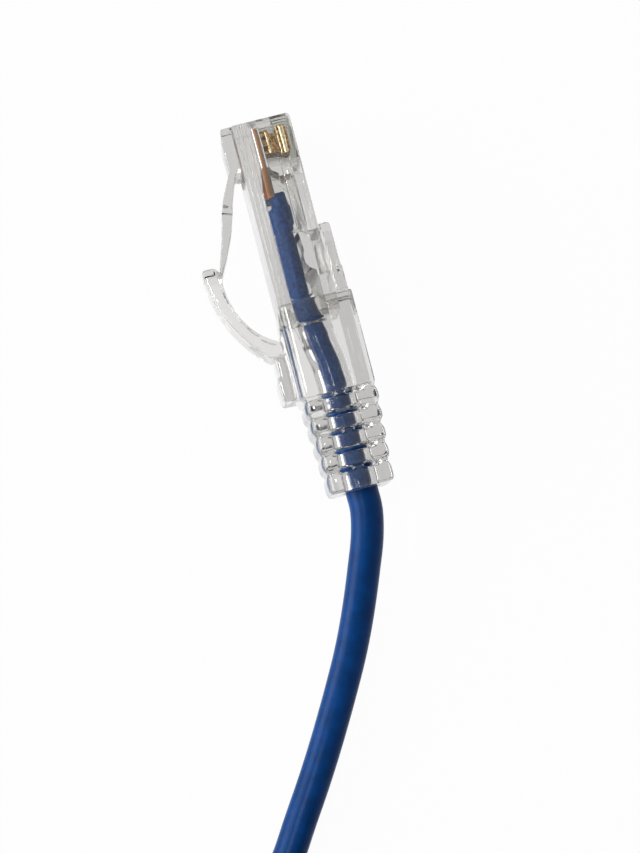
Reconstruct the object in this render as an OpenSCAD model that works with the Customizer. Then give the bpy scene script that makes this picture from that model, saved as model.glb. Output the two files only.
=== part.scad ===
// Ethernet patch cable: a slim round cord with the same clear 8-way modular plug
// on each end. Plug A lies on its side on a table at Z = 0. The length that isn't
// in use is wound into a hank behind it, held by a tie, with plug B lying on top.
//
// A plug is drawn in its own frame. Its nose is at Y = 0 and its body runs back
// along -Y. Its contact face is at X = 0, its latch is on the -X side, and its
// width is centred on Z = 0. Outlines seen from the side are lists of
// [back, deep]: how far behind the nose, and how far below the contact face.

/* [Plug body] */
// Width of a plug, across its eight contacts
plug_w = 11.68; // [11.5:0.02:12]
// Thickness of the body, from the contact face to the latch face
body_t = 6.6; // [6.5:0.05:6.9]
// Length of the body, from the nose to the end inside the boot
body_len = 23.2; // [22.8:0.1:24]
// Length of the neck at the rear, which the boot slips over
neck_len = 2.1; // [1.7:0.1:2.5]
// How far the neck is set in from the latch face
neck_step = 0.85; // [0.75:0.05:1]
// Width of the hollow that holds the wires and the jacket
hollow_w = 8.8; // [8.6:0.1:9.2]
// Wall between that hollow and the latch face
floor_t = 1.55; // [1.4:0.05:1.65]
// Distance between neighbouring contacts
pin_pitch = 1.02; // [1:0.01:1.03]

/* [Contacts and wires] */
// Thickness of a contact blade
blade_t = 0.32; // [0.26:0.01:0.36]
// Length of a contact blade along the plug
blade_len = 3.4; // [3.2:0.05:3.5]
// How far a blade's crest lies below the contact face
blade_sunk = 0.7; // [0.5:0.05:0.9]
// Diameter of one insulated wire
wire_d = 0.8; // [0.7:0.02:0.84]
// Diameter of the copper inside a wire
core_d = 0.36; // [0.3:0.01:0.42]

/* [Latch] */
// Width of the latch where it joins the body
root_w = 6.2; // [5.8:0.1:6.3]
// Width of the latch's lever
lever_w = 3.25; // [3:0.05:3.4]
// Length of the lever, from its hinge line to its tip
lever_len = 11.8; // [11.2:0.1:12.2]
// Angle that the free lever stands off the body
lever_angle = 19.5; // [18:0.5:21]
// Distance of the locking shoulders behind the nose
shoulder_back = 8.26; // [8.1:0.02:8.4]

/* [Latch guard] */
// Width of the guard that arches over the latch
guard_w = 6.8; // [6:0.1:7.4]
// Gap between the lever and each side of the guard's groove
groove_gap = 0.4; // [0.3:0.05:0.6]
// Gap between the guard's round foot and its seat
seat_gap = 0.06; // [0.05:0.01:0.1]

/* [Boot] */
// Thickness of the boot's wall at the plug's two sides
boot_wall = 0.86; // [0.7:0.02:1.1]
// Thickness of the boot on the contact side
under_t = 1.8; // [1.6:0.05:2.1]
// Length of the boot's sleeve
sleeve_len = 10.8; // [10:0.1:11.4]
// Radius of the sleeve's long edges
sleeve_r = 0.9; // [0.5:0.1:1.2]
// Length of the tongue that reaches forward on the contact side
tongue_len = 8.2; // [7.6:0.1:8.4]
// Width of that tongue
tongue_w = 9.6; // [8.6:0.1:10.4]
// Gap between the boot and the plug's neck
boot_gap = 0.05; // [0.03:0.01:0.1]

/* [Strain relief] */
// Number of ribs
rib_count = 5; // [4:1:6]
// Distance from one rib to the next
rib_pitch = 2.1; // [2:0.05:2.4]
// Width of the slot between two ribs
slot_len = 0.5; // [0.4:0.05:0.6]
// Width of the webs on the wide faces, which join every other pair of ribs
web_w = 0.95; // [0.8:0.05:1.3]
// Half width of the relief at its last rib
relief_end_w = 4.9; // [4.4:0.1:5.6]
// Gap between the cord and the relief's bore
bore_gap = 0.15; // [0.1:0.01:0.2]

/* [Cord] */
// Diameter of the cord's jacket
cord_d = 3.8; // [3.6:0.05:3.9]
// Thickness of the jacket where the plug has pressed it flat
flat_t = 2.6; // [2.4:0.05:2.7]
// Radius of the innermost fold in the hank
fold_r = 11.4; // [11:0.1:12]
// Length of the straight runs in the hank
hank_run = 20; // [18:1:22]
// Clear space between neighbouring turns
turn_gap = 0.5; // [0.45:0.01:0.6]
// Thickness of the band that ties the hank
tie_t = 0.6; // [0.4:0.05:0.8]
// Width of that band
tie_w = 4; // [3:0.5:6]

/* [Hidden] */
$fn = 48;
PIN_COUNT = 8;

PLUG_PARTS = concat(
  ["housing", "latch", "conductors", "jacket_end", "boot", "latch_guard"],
  [for (i = [1:PIN_COUNT]) str("contact_", i)],
  [for (i = [1:PIN_COUNT]) str("wire_", i)]
);

// Colours: pin 1 to pin 8 follow the usual striped and plain pairs.
CLEAR = [0.80, 0.80, 0.78, 0.45];
CLEAR_SOFT = [0.74, 0.74, 0.71, 0.5];
GOLD = [0.83, 0.62, 0.24];
COPPER = [0.72, 0.42, 0.26];
NAVY = [0.09, 0.27, 0.5];
WIRE_COLORS = [
  [0.93, 0.62, 0.36], [0.85, 0.38, 0.10],
  [0.66, 0.86, 0.66], [0.16, 0.30, 0.75],
  [0.62, 0.74, 0.93], [0.12, 0.52, 0.22],
  [0.72, 0.58, 0.46], [0.42, 0.25, 0.14]
];

// Depths and places inside a plug
boot_half = plug_w / 2 + boot_gap + boot_wall;
hollow_deep = body_t - floor_t;
jacket_deep = hollow_deep - 0.1 - flat_t / 2;
jacket_front = 8.1;
cord_deep = 2.35;
hollow_back = 6.65;
roof_deep = 1.25;
blade_back = 0.85;
wire_deep = hollow_deep - 0.5 - wire_d / 2;
wire_front = 0.6;
fan_back = 5.6;
channel_d = wire_d + 0.1;
slot_w = blade_t + 0.08;
tine_tip = wire_deep - core_d / 2 - 0.02;
clamp_back = 13.3;
clamp_len = 5.3;
clamp_w = 7.6;

// The boot runs from the neck to the end of the last rib.
sleeve_back = body_len - neck_len;
relief_back = sleeve_back + sleeve_len;
end_rim = 0.3;
boot_back = relief_back + slot_len / 2 + rib_count * rib_pitch + end_rim;
bore_d = cord_d + 2 * bore_gap;

// Hinge lines, as [back, deep]
lever_hinge = [4.3, body_t + 0.85];
lever_r = 0.42;
lever_tip = lever_hinge + lever_len * [cos(lever_angle), sin(lever_angle)];
guard_hinge = [sleeve_back + 4.2, body_t + 1.6];
guard_r = 1.05;

// Where plug A stands: the middle of its box is over the origin.
guard_top = lever_tip[1] + 2.2;
plug_a_pos = [(guard_top - under_t) / 2, boot_back / 2, boot_half];

// The hank, in plug A's frame, with Z measured from the table: an oval winding
// that goes in, out and in again, a layer higher each time
hank_centre = [-19.9, -119.4];
LAYERS = 3;
LAYER_TURNS = 2;
FIRST_TURN = 0.3125;
FOLD_SHARE = 0.375;
hank_turns = LAYERS * LAYER_TURNS + 0.25;
turn_step = cord_d + turn_gap;
tie_gap = 0.3;
hank_low = cord_d / 2 + tie_gap + tie_t;
hank_top = hank_low + (LAYERS - 1) * turn_step + cord_d / 2;

// Plug B lies on the hank, over its right-hand run. The cord enters its boot to the
// right of the innermost fold, and just ahead of where that fold begins.
rest_gap = 0.1;
far_side = fold_r + 3.7;
far_ahead = 0.5;
far_exit = [
  hank_centre[0] + far_side, hank_centre[1] - hank_run / 2 + far_ahead,
  hank_top + rest_gap + boot_half
];

RINGS_A_LOOP = 24;
HANK_SIDES = 6;
CORD_SIDES = 8;
WIRE_SIDES = 10;

function unit(v) = v / norm(v);

// Points on a cubic curve with the control points c, from t0 to t1 in n steps
function curve(c, t0, t1, n) = [
  for (k = [0:n])
    let (t = t0 + (t1 - t0) * k / n, s = 1 - t)
      s * s * s * c[0] + 3 * s * s * t * c[1] + 3 * s * t * t * c[2] + t * t * t * c[3]
];

// Centre of pin i, from 1 on the upper side to 8
function pin_z(i) = ((PIN_COUNT + 1) / 2 - i) * pin_pitch;

// Centre line of wire i from its channel to the jacket: the even wires rise into
// a second layer first, and then all of them close up to half the pins' pitch.
FAN_STEPS = 10;
wire_layer = wire_d + 0.04;
function ease(t) = let (s = max(0, min(1, t))) s * s * (3 - 2 * s);
function fan_at(i, t) = [
  -wire_deep + (i % 2 == 0 ? wire_layer * ease(t / 0.35) : 0),
  -fan_back - (jacket_front - fan_back) * t,
  pin_z(i) * (1 - 0.5 * ease((t - 0.15) / 0.85))
];

// A solid with a side outline of [back, deep] points, centred on the plug's width
module slab(outline, width) {
  translate([0, 0, -width / 2])
    linear_extrude(width)
      polygon([for (p = outline) [-p[1], -p[0]]]);
}

// A block between two places along the plug and two depths
module block(back, deep, width) {
  slab([[back[0], deep[0]], [back[1], deep[0]], [back[1], deep[1]], [back[0], deep[1]]], width);
}

// A solid with a cross-section of X and Z, from one place along the plug to another
module bar(from, to) {
  translate([0, -from, 0])
    rotate([90, 0, 0])
      linear_extrude(to - from)
        children();
}

// A flat rectangle between two corners, with round corners
module rounded(low, high, r) {
  translate([low[0] + r, low[1]]) square([high[0] - low[0] - 2 * r, high[1] - low[1]]);
  translate([low[0], low[1] + r]) square([high[0] - low[0], high[1] - low[1] - 2 * r]);
  for (x = [low[0] + r, high[0] - r], y = [low[1] + r, high[1] - r])
    translate([x, y]) circle(r);
}

// A round pin across the plug at [back, deep]
module cross_pin(at, r, width) {
  translate([-at[1], -at[0], -width / 2]) cylinder(r = r, h = width);
}

// A closed skin over a list of points that holds one ring after another
module skin(points, sides) {
  last_ring = len(points) - sides;
  walls = [
    for (k = [0:sides:last_ring - sides], s = [0:sides - 1])
      let (a = k + s, b = k + (s + 1) % sides, c = a + sides, d = b + sides)
        each [[a, b, d], [a, d, c]]
  ];
  caps = [
    for (s = [1:sides - 2])
      each [[0, s + 1, s], [last_ring, last_ring + s, last_ring + s + 1]]
  ];
  polyhedron(points = points, faces = concat(walls, caps), convexity = 10);
}

// A round rod between two points
module rod(from, to, d) {
  run = to - from;
  translate(from)
    rotate([0, acos(run[2] / norm(run)), atan2(run[1], run[0])])
      cylinder(d = d, h = norm(run));
}

// ---- Plug body ----

// The outside: a nose with a bevelled lip, and a neck at the rear
body_outline = [
  [0.3, 0], [body_len, 0], [body_len, body_t - neck_step],
  [sleeve_back, body_t - neck_step], [sleeve_back, body_t], [0, body_t], [0, 0.3]
];

// The block on the latch face that the latch grows from
root_outline = [
  [0, body_t - 0.5], [0, body_t + 0.85], [1.3, body_t + 1.27], [2.6, body_t + 1.4],
  [4.3, body_t + 1.4], [lever_hinge[0], body_t + 0.4], [4.95, body_t + 0.36], [4.95, body_t - 0.5]
];

// The hollow: wires fan out behind a cross bar, and the jacket lies on the floor
hollow_outline = [
  [fan_back - 0.3, wire_deep - channel_d / 2], [fan_back + 0.2, wire_deep - channel_d / 2 - 0.25],
  [hollow_back - 0.35, wire_deep - wire_layer - wire_d / 2 - 0.1], [hollow_back, wire_deep - 1.4],
  [hollow_back, roof_deep + 0.2], [hollow_back + 0.6, roof_deep],
  [body_len + 1, roof_deep], [body_len + 1, hollow_deep], [jacket_front, hollow_deep],
  [fan_back - 0.3, wire_deep + channel_d / 2]
];

// The bar that was pressed down on the jacket, seen from the side
clamp_outline = [
  [clamp_back + 0.1, jacket_deep - flat_t / 2 - 0.1], [clamp_back + 0.2, 1.8],
  [clamp_back + 0.7, 1.3], [clamp_back + 1.5, 1.05], [clamp_back + 4.9, 1.05],
  [clamp_back + 4.2, 2], [clamp_back + 3.6, jacket_deep - flat_t / 2 - 0.05],
  [clamp_back + 2.8, jacket_deep - flat_t / 2 - 0.05], [clamp_back + 2.2, 2.1]
];

// One contact slot, open to the contact face and, above, to the nose
module contact_slot() {
  slab([
    [blade_back - 0.1, -1], [5, -1], [5, 0.9], [4.5, 2.4],
    [blade_back + blade_len + 0.05, wire_deep], [blade_back - 0.1, wire_deep]
  ], slot_w);
  block([-1, blade_back], [-1, 2.1], slot_w);
}

module housing() {
  color(CLEAR)
    difference() {
      union() {
        slab(body_outline, plug_w);
        slab(root_outline, root_w);
      }
      difference() {
        slab(hollow_outline, hollow_w);
        slab(clamp_outline, hollow_w + 1);
      }
      block([clamp_back + 0.1, clamp_back + clamp_len], [-1, 1.05], clamp_w);
      block([clamp_back + 0.1, clamp_back + 0.6], [1, 1.3], clamp_w);
      slab([
        [fan_back - 0.2, -1], [hollow_back + 0.35, -1], [hollow_back + 0.15, roof_deep - 0.2],
        [fan_back + 0.3, roof_deep - 0.2]
      ], clamp_w);
      for (i = [1:PIN_COUNT])
        translate([0, 0, pin_z(i)]) {
          contact_slot();
          rod([-wire_deep, -wire_front, 0], [-wire_deep, -fan_back, 0], channel_d);
        }
      cross_pin(lever_hinge, lever_r + seat_gap, root_w + 1);
      block([lever_hinge[0], lever_hinge[0] + 1.7], [lever_hinge[1], lever_hinge[1] + 2.1], root_w + 1);
    }
}

// ---- Latch ----

// The lever lies along its own slope: points are [along, off], from the hinge line
lever_outline = [
  [0, lever_r], [0.7, 0.5], [1.9, 0.62], [2.8, 0.74], [3.8, 0.8], [4.8, 0.8], [5.7, 0.72],
  [8, 0.42], [lever_len - 0.2, 0.22], [lever_len, -0.18], [9.5, -0.45], [7, -0.58],
  [4.6, -0.45], [3.7, -0.33], [0.6, -0.26], [0, -lever_r]
];
shoulder_along = (shoulder_back - lever_hinge[0]) / cos(lever_angle);

module latch() {
  color(CLEAR)
    translate([-lever_hinge[1], -lever_hinge[0], 0])
      rotate([0, 0, -lever_angle]) {
        intersection() {
          slab(lever_outline, root_w);
          union() {
            block([-1, shoulder_along], [-2, 2], root_w);
            block([0, lever_len + 1], [-2, 2], lever_w);
          }
        }
        cylinder(r = lever_r, h = root_w, center = true);
      }
}

// ---- Contacts, wires and copper ----

module contact(i) {
  end = blade_back + blade_len;
  tine_back = [for (k = [0:2]) blade_back + 0.25 + k * (blade_len - 1.2) / 2];
  color(GOLD)
    translate([0, 0, pin_z(i)]) {
      slab([
        [blade_back, blade_sunk + 0.5], [blade_back + 0.15, blade_sunk + 0.15],
        [blade_back + 0.5, blade_sunk], [end - 0.5, blade_sunk],
        [end - 0.15, blade_sunk + 0.15], [end, blade_sunk + 0.5],
        [end, 2.2], [end - 0.15, 2.4], [end - 0.15, 3.1],
        [blade_back + 0.15, 3.1], [blade_back + 0.15, 2.4], [blade_back, 2.2]
      ], blade_t);
      for (b = tine_back)
        slab([[b, 3], [b + 0.7, 3], [b + 0.7, tine_tip - 0.3], [b + 0.45, tine_tip],
          [b + 0.25, tine_tip], [b, tine_tip - 0.3]], blade_t);
    }
}

module wire(i) {
  color(WIRE_COLORS[i - 1]) {
    difference() {
      rod([-wire_deep, -wire_front, pin_z(i)], [-wire_deep, -fan_back, pin_z(i)], wire_d);
      rod([-wire_deep, 0, pin_z(i)], [-wire_deep, -fan_back + 0.1, pin_z(i)], core_d + 0.02);
      translate([0, 0, pin_z(i)])
        block([blade_back + 0.1, blade_back + blade_len - 0.1], [0, wire_deep - core_d / 4], blade_t + 0.04);
    }
    tube(
      concat([fan_at(i, 0) + [0, 0.05, 0]], [for (k = [0:FAN_STEPS]) fan_at(i, k / FAN_STEPS)]),
      WIRE_SIDES, wire_d - 0.02, [0, -1, 0], [0, -1, 0]
    );
  }
}

// The copper of all eight wires, each in its own insulation
module conductors() {
  color(COPPER)
    for (i = [1:PIN_COUNT])
      rod([-wire_deep, -wire_front, pin_z(i)], [-wire_deep, -fan_back + 0.1, pin_z(i)], core_d);
}

// ---- Jacket inside the plug and the boot ----

// The jacket's sections inside a plug and its boot: [back, deep, thickness, width].
// It lies flat on the plug's floor, with the same girth, sinks to the middle of the
// boot, and is round again before the strain relief.
JACKET_SIDES = 24;
CHANGE_STEPS = 5;
flat_w = flat_t + (cord_d - flat_t) * PI / 2;
flat_section = [jacket_deep, flat_t, flat_w];
sunk_section = [cord_deep, flat_t, flat_w];
round_section = [cord_deep, cord_d, cord_d];
function change(from, to, before, after) = [
  for (k = [0:CHANGE_STEPS])
    let (t = k / CHANGE_STEPS)
      concat([from + (to - from) * t], before + (after - before) * ease(t))
];
jacket_sections = concat(
  [concat([jacket_front], flat_section)],
  change(body_len - 2.4, body_len + 2.4, flat_section, sunk_section),
  change(relief_back - 3.4, relief_back - 1.2, sunk_section, round_section),
  [concat([boot_back], round_section)]
);

module jacket_end() {
  color(NAVY)
    skin([
      for (j = jacket_sections, s = [0:JACKET_SIDES - 1])
        let (a = 360 * (s + 0.5) / JACKET_SIDES, r = j[2] / 2)
          [-j[1] - r * cos(a), -j[0], r * sin(a) + (j[3] / 2 - r) * sign(sin(a))]
    ], JACKET_SIDES);
}

// ---- Boot ----

boot_top = body_t + 0.1;
base_w = guard_w + 0.4;

// The foot that the guard stands on
foot_outline = [
  [sleeve_back, boot_top - 1], [sleeve_back, boot_top], [guard_hinge[0] - 1.1, boot_top + 0.4],
  [guard_hinge[0], boot_top + 1.2], [guard_hinge[0] + 1.3, boot_top + 1.75],
  [guard_hinge[0] + 2.5, boot_top + 1.7], [guard_hinge[0] + 3.4, boot_top + 1.7],
  [guard_hinge[0] + 3.5, boot_top + 2], [relief_back - 0.4, boot_top + 1.9],
  [relief_back - 0.3, boot_top - 1]
];

// The tongue under the contact side, and the boss that drops into the clamp's window
tongue_back = sleeve_back - tongue_len;
tongue_step = tongue_back + 5;
tongue_outline = [
  [tongue_back, 0], [tongue_back, -under_t + 0.5], [tongue_back + 0.2, -under_t + 0.35],
  [tongue_step, -under_t + 0.35], [tongue_step + 0.2, -under_t + 0.2],
  [sleeve_back + 0.5, -under_t + 0.2], [sleeve_back + 0.5, 0]
];

// The space in the sleeve behind the plug, which narrows towards the bore
boot_hollow = [
  [body_len - 0.1, 0.6], [body_len - 0.1, body_t - neck_step - 0.1],
  [body_len + 2.6, body_t - neck_step - 0.1],
  [relief_back - 0.4, cord_deep + cord_d / 2 + 0.9], [relief_back - 0.4, cord_deep - cord_d / 2 + 0.1]
];

// Sides of rib k, counted from 1: [contact side, latch side, half width]
function rib_size(k) =
  let (t = (k - 1) / (rib_count - 1))
    [under_t + 0.1 - 0.55 * t, body_t - 0.4 * t, boot_half - 0.5 + (relief_end_w - boot_half + 0.5) * t];
function slot_back(k) = relief_back + slot_len / 2 + (k - 1) * rib_pitch;

// One rib: its side, plan and end views all have round corners
rib_edge = 0.35;
rib_corner = 1.2;
module rib(k) {
  front = slot_back(k) + slot_len / 2;
  back = k == rib_count ? boot_back : slot_back(k + 1) - slot_len / 2;
  s = rib_size(k);
  intersection() {
    translate([0, 0, -plug_w])
      linear_extrude(2 * plug_w)
        rounded([-s[1], -back], [s[0], -front], rib_edge);
    translate([-plug_w, 0, 0])
      rotate([90, 0, 90])
        linear_extrude(2 * plug_w)
          rounded([-back, -s[2]], [-front, s[2]], rib_edge);
    bar(front, back) rounded([-s[1], -s[2]], [s[0], s[2]], rib_corner);
  }
}

// What bridges slot k: a web on each wide face, between slots with round ends, or
// a web on each narrow side
module web(k) {
  s = rib_size(k);
  reach = [slot_back(k) - slot_len / 2 - 0.5, slot_back(k) + slot_len / 2 + 0.5];
  tall = 2 * s[2] - 2 * rib_edge;
  slot_end = (web_w + slot_len) / 2;
  if (k % 2 == 1)
    difference() {
      block(reach, [cord_deep - slot_end, cord_deep + slot_end], tall);
      for (deep = [cord_deep - slot_end, cord_deep + slot_end])
        cross_pin([slot_back(k), deep], slot_len / 2, tall + 1);
    }
  else {
    block(reach, [s[1] - 1.1, s[1] - 0.3], tall - 1.4);
    block(reach, [-s[0] + 0.3, -s[0] + 1.1], tall - 1.4);
  }
}

module boot() {
  color(CLEAR_SOFT)
    difference() {
      union() {
        bar(sleeve_back, relief_back) rounded([-boot_top, -boot_half], [under_t, boot_half], sleeve_r);
        slab(foot_outline, base_w);
        slab(tongue_outline, tongue_w);
        block([clamp_back + 1.6, clamp_back + clamp_len - 0.2], [-0.5, 0.85], clamp_w - 0.4);
        for (k = [1:rib_count]) {
          rib(k);
          web(k);
        }
      }
      block([sleeve_back - 0.1, body_len + boot_gap], [-boot_gap, body_t - neck_step + boot_gap],
        plug_w + 2 * boot_gap);
      slab(boot_hollow, plug_w - 1.4);
      bar(relief_back - 2.2, boot_back + 1) translate([-cord_deep, 0]) circle(d = bore_d);
      cross_pin(guard_hinge, guard_r + seat_gap, base_w + 1);
    }
}

// ---- Latch guard ----

// Outer and inner curves of the arm, from its tip to its foot
arm_outer = [
  lever_tip + [-0.5, 2.2], lever_tip + [3.2, 2.1],
  guard_hinge + [-2.7, 4.2], guard_hinge + guard_r * [cos(45), sin(45)]
];
arm_inner = [
  lever_tip + [1, 0.2], lever_tip + [4, 0.3],
  guard_hinge + [-2.7, 2.4], guard_hinge + guard_r * [-cos(15), -sin(15)]
];
groove_roof = 0.75 * arm_inner + 0.25 * arm_outer;

module latch_guard() {
  nose = [lever_tip + [-0.7, 0.6], lever_tip + [-0.75, 1.9]];
  lip = lever_tip + [0.4, -0.1];
  steps = 14;
  groove_run = 7.5;
  groove_drop = 3.5;
  color(CLEAR_SOFT)
    difference() {
      union() {
        slab(concat(
          curve(arm_outer, 0, 1, steps), [guard_hinge],
          [for (k = [0:steps]) curve(arm_inner, 1, 0, steps)[k]], [lip], nose
        ), guard_w);
        cross_pin(guard_hinge, guard_r, guard_w);
      }
      slab(concat(
        [nose[0] + [-1, 0.1]], curve(groove_roof, 0, 0.85, steps),
        [lever_tip + [groove_run, -groove_drop], nose[0] + [-1, 0.6 - groove_drop]]
      ), lever_w + 2 * groove_gap);
    }
}

// ---- Cord ----

// Centre line of the cord from plug A's boot to the hank, in plug A's frame, with
// Z measured from the table
cord_exit = [-cord_deep, -boot_back, boot_half];
lead_route = [
  cord_exit, [-2.4, -45.4, 6.7], [-3.1, -48.4, 6.4], [-4.2, -51.4, 5.8],
  [-5.4, -54.5, 5.1], [-6.7, -57.6, 4.3], [-8.1, -60.6, 3.5], [-9.8, -63.8, 2.8],
  [-11.6, -67, 2.3], [-13.6, -70.4, 2], [-15.8, -73.9, 1.9], [-18.2, -77.5, 1.9],
  [-21, -81.7, 1.9], [-24.3, -85.4, 1.9], [-28.3, -88.8, 2], [-32.2, -92.3, 2.3]
];

// A point on the hank's oval of radius r, at a share f of the way round
function oval(f, r) =
  f >= 0.5 ? -oval(f - 0.5, r)
  : f < FOLD_SHARE
    ? let (a = 180 * f / FOLD_SHARE) [r * cos(a), hank_run / 2 + r * sin(a)]
  : [-r, hank_run * (0.5 - (f - FOLD_SHARE) / (0.5 - FOLD_SHARE))];

// Radius and height of the hank's tube after u turns; it climbs a layer in the
// half turn where it changes between going in and going out.
function hank_r(u) = fold_r + LAYER_TURNS * turn_step * abs((u / LAYER_TURNS) % 2 - 1);
function climbed(t) = (1 - cos(180 * max(0, min(1, t)))) / 2;
function hank_z(u) =
  let (climbs = [for (k = [1:LAYERS]) climbed(2 * (u - k * LAYER_TURNS) + 0.5)])
    hank_low + turn_step * (climbs * [for (c = climbs) 1]);
function hank_at(u) =
  let (f = u + FIRST_TURN, flat = oval(f - floor(f), hank_r(u)))
    [hank_centre[0] + flat[0], hank_centre[1] + flat[1], hank_z(u)];

hank_run_in = unit(hank_at(0.01) - hank_at(0));
hank_run_out = unit(hank_at(hank_turns) - hank_at(hank_turns - 0.01));
hank_head = hank_at(0) - cord_d * hank_run_in;
hank_foot = hank_at(hank_turns) + cord_d * hank_run_out;
hank_steps = ceil(hank_turns * RINGS_A_LOOP);
hank_route = concat(
  [hank_head],
  [for (k = [0:hank_steps]) hank_at(hank_turns * k / hank_steps)],
  [hank_foot]
);

// The tail goes round the last fold, widening, and rises into plug B's boot. Its
// angles are measured round the fold's centre.
TAIL_STEPS = 6;
TAIL_START = 230;
TAIL_SWEEP = 117;
function tail_at(t) =
  let (a = TAIL_START + TAIL_SWEEP * t, r = hank_r(hank_turns))
    let (wide = r + (far_side - r) * t, low = hank_z(hank_turns))
      [
        hank_centre[0] + wide * cos(a), hank_centre[1] - hank_run / 2 + wide * sin(a),
        low + (far_exit[2] - low) * ease(t)
      ];
tail_route = concat([for (k = [1:TAIL_STEPS + 1]) tail_at(k / (TAIL_STEPS + 1))], [far_exit]);

// Direction of a route at point k; its ends may be given
function heading(route, k, first, last) =
  k == 0 && !is_undef(first) ? first
  : k == len(route) - 1 && !is_undef(last) ? last
  : unit(route[min(k + 1, len(route) - 1)] - route[max(k - 1, 0)]);

// One tube of diameter d with the given number of sides along a route
module tube(route, sides, d, first, last) {
  rings = [
    for (k = [0:len(route) - 1])
      let (
        along = heading(route, k, first, last),
        across = unit(cross(along, [0, 0, 1])),
        up = cross(across, along)
      )
        for (s = [0:sides - 1])
          let (a = 360 * (s + 0.5) / sides)
            route[k] + d / 2 * (across * cos(a) + up * sin(a))
  ];
  skin(rings, sides);
}

module in_place() {
  translate([plug_a_pos[0], plug_a_pos[1], 0]) children();
}

module cord_lead() {
  color(NAVY) in_place()
    tube(concat(lead_route, [hank_head]), CORD_SIDES, cord_d, [0, -1, 0], hank_run_in);
}

module cord_coil() {
  color(NAVY) in_place()
    tube(hank_route, HANK_SIDES, cord_d, hank_run_in, hank_run_out);
}

module cord_tail() {
  color(NAVY) in_place()
    tube(concat([hank_foot], tail_route), CORD_SIDES, cord_d, hank_run_out, [0, 1, 0]);
}

// Least gap between the hank's tube and itself, measured on its points
echo(least_hank_gap = min([
  for (j = [0:len(hank_route) - 1], k = [j + 8:1:len(hank_route) - 1])
    norm(hank_route[j] - hank_route[k]) - cord_d
]));

// A band round the strands of the hank's left-hand run, with a twisted end on top
TIE_SHARE = 0.5 * (FOLD_SHARE + 0.5);
tie_turns = [for (k = [0:LAYERS * LAYER_TURNS]) TIE_SHARE - FIRST_TURN + k];
module round_strands(r) {
  hull()
    for (u = tie_turns)
      translate([-hank_r(u), hank_z(u)]) circle(r, $fn = 24);
}
module tie() {
  twist_d = 1.6;
  twist_h = 4;
  twist_off = 1;
  color([0.92, 0.92, 0.9]) in_place()
    translate([hank_centre[0], hank_centre[1] + tie_w / 2, 0])
      rotate([90, 0, 0]) {
        linear_extrude(tie_w)
          difference() {
            round_strands(cord_d / 2 + tie_gap + tie_t);
            round_strands(cord_d / 2 + tie_gap);
          }
        translate([-hank_r(tie_turns[1]) - twist_off, hank_top + tie_gap + tie_t / 2, tie_w / 2])
          rotate([-90, 0, 0]) cylinder(d = twist_d, h = twist_h);
      }
}

// ---- The two plugs in place ----

module plug_a() {
  translate(plug_a_pos) children();
}

// Plug B points the same way as plug A.
module plug_b() {
  in_place()
    translate([far_exit[0] + cord_deep, far_exit[1] + boot_back, far_exit[2]])
      children();
}

module place(p) {
  if (p == "a") plug_a() children();
  if (p == "b") plug_b() children();
}

for (p = ["a", "b"]) {
  place(p) housing();
  place(p) latch();
  place(p) conductors();
  place(p) jacket_end();
  place(p) boot();
  place(p) latch_guard();
  for (i = [1:PIN_COUNT]) {
    place(p) contact(i);
    place(p) wire(i);
  }
}
cord_lead();
cord_coil();
cord_tail();
tie();
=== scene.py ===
# Ethernet patch cable: a slim round cord with a clear modular plug, a clear soft
# boot and a latch guard on each end. Plug A lies on its side on a white table.
# The cord's spare length is wound into a tied hank, and plug B lies on that.
import math

import bmesh
import bpy
from mathutils import Matrix, Vector


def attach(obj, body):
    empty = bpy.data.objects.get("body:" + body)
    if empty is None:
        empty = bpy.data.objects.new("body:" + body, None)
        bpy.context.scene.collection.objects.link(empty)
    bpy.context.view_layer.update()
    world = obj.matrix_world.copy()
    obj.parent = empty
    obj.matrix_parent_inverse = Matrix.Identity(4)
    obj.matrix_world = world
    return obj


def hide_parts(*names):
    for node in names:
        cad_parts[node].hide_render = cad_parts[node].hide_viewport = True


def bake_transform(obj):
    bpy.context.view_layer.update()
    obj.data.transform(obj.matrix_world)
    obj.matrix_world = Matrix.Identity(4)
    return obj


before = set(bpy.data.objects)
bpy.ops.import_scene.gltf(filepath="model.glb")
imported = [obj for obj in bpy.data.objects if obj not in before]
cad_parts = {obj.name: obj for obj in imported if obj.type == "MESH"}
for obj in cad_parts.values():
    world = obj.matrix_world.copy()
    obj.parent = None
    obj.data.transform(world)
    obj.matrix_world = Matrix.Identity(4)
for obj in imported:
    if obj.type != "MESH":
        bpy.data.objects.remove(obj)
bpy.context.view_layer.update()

# ---- Camera and where the plugs stand ----
# The camera looks down on plug A from just off the vertical. Each plug has a frame
# of its own: x towards its contacts, y out of its nose, z across its width.

MM = 0.001
PLUG_A = Vector((5.8945, 21.475, 6.75))
PLUG_B = Vector((3.4445, -64.475, 20.15))
CAMERA_EYE, CAMERA_AIM = (-20.71, -55.8, 250), (-5.1, -34.8, 0)
CAMERA_ROLL = math.radians(14.5)
SENSOR, FOCAL_PIXELS, PICTURE_PIXELS = 24, 2212, 853


def in_plug_a(x, y, z):
    return (PLUG_A + Vector((x, y, z))) * MM


def in_plug_b(x, y, z):
    return (PLUG_B + Vector((x, y, z))) * MM


PLUGS = {"plug_a": in_plug_a, "plug_b": in_plug_b}

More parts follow.
